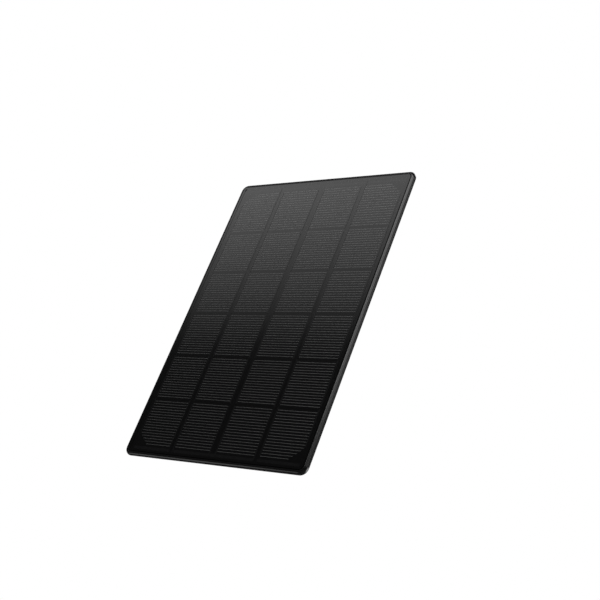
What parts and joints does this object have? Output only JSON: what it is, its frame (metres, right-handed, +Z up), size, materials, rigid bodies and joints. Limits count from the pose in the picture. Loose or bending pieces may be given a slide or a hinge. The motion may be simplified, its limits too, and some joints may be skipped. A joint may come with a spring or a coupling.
{
  "type": "solar panel",
  "caption": "Small flat solar panel: slim rounded black rim, dark cells behind a clear cover, and a rear housing with a bracket insert and a socket behind a hinged door.",
  "frame": {"origin": "centre of the mouth of the threaded insert, in the middle of the back", "axes": "+Z up along the panel's length, cells facing -Y, +Y out of the insert at the back, +X across the panel"},
  "size_m": [0.12, 0.0129, 0.1764],
  "materials": {
    "black_moulding": "fine moulded texture, black",
    "clear_cover": "clear glossy film",
    "clear_encapsulant": "clear",
    "black_encapsulant": "black",
    "black_backsheet": "matte black",
    "silicon_cell": "near-black silicon with thin silver finger lines",
    "black_ribbon": "black-coated copper ribbon",
    "adhesive": "black foam adhesive",
    "silicone": "soft matte black",
    "white_membrane": "white porous film",
    "label_film": "satin grey film, blank",
    "brass": "knurled, machined",
    "black_steel": "black oxide",
    "zinc_steel": "zinc plated",
    "socket_steel": "stamped stainless",
    "board": "green solder mask",
    "ferrite": "dark grey ferrite",
    "chip_plastic": "black epoxy",
    "chip_ceramic": "tan ceramic",
    "solder": "bright tin"
  },
  "bodies": {
    "panel": {"backsheet": "black_backsheet", "blocking_diodes": "chip_plastic", "board_screws": "zinc_steel", "capacitors": "chip_ceramic", "cell_r1_c1": "silicon_cell", "cell_r1_c2": "silicon_cell", "cell_r1_c3": "silicon_cell", "cell_r1_c4": "silicon_cell", "cell_r2_c1": "silicon_cell", "cell_r2_c2": "silicon_cell", "cell_r2_c3": "silicon_cell", "cell_r2_c4": "silicon_cell", "cell_r3_c1": "silicon_cell", "cell_r3_c2": "silicon_cell", "cell_r3_c3": "silicon_cell", "cell_r3_c4": "silicon_cell", "cell_r4_c1": "silicon_cell", "cell_r4_c2": "silicon_cell", "cell_r4_c3": "silicon_cell", "cell_r4_c4": "silicon_cell", "cell_r5_c1": "silicon_cell", "cell_r5_c2": "silicon_cell", "cell_r5_c3": "silicon_cell", "cell_r5_c4": "silicon_cell", "cell_r6_c1": "silicon_cell", "cell_r6_c2": "silicon_cell", "cell_r6_c3": "silicon_cell", "cell_r6_c4": "silicon_cell", "cell_ribbons_c1": "black_ribbon", "cell_ribbons_c2": "black_ribbon", "cell_ribbons_c3": "black_ribbon", "cell_ribbons_c4": "black_ribbon", "circuit_board": "board", "front_cover": "clear_cover", "front_encapsulant": "clear_encapsulant", "hinge_pin": "zinc_steel", "housing_gasket": "silicone", "housing_screws": "black_steel", "laminate_adhesive": "adhesive", "link_ribbon_left": "black_ribbon", "link_ribbon_right": "black_ribbon", "negative_ribbon": "black_ribbon", "positive_ribbon_left": "black_ribbon", "positive_ribbon_right": "black_ribbon", "power_inductor": "ferrite", "rating_label": "label_film", "rear_encapsulant": "black_encapsulant", "rear_housing": "black_moulding", "regulator_chip": "chip_plastic", "socket_shell": "socket_steel", "socket_tongue": "chip_plastic", "solder_joints": "solder", "threaded_insert": "brass", "tray": "black_moulding", "vent_membrane": "white_membrane"},
    "door": {"port_door": "black_moulding", "door_seal": "silicone"}
  },
  "joints": [
    {"name": "door_hinge", "type": "hinge", "parent": "panel", "child": "door", "pos_m": [0, -0.0019, -0.0426], "axis": [1, 0, 0], "range_deg": [0, 120]}
  ]
}
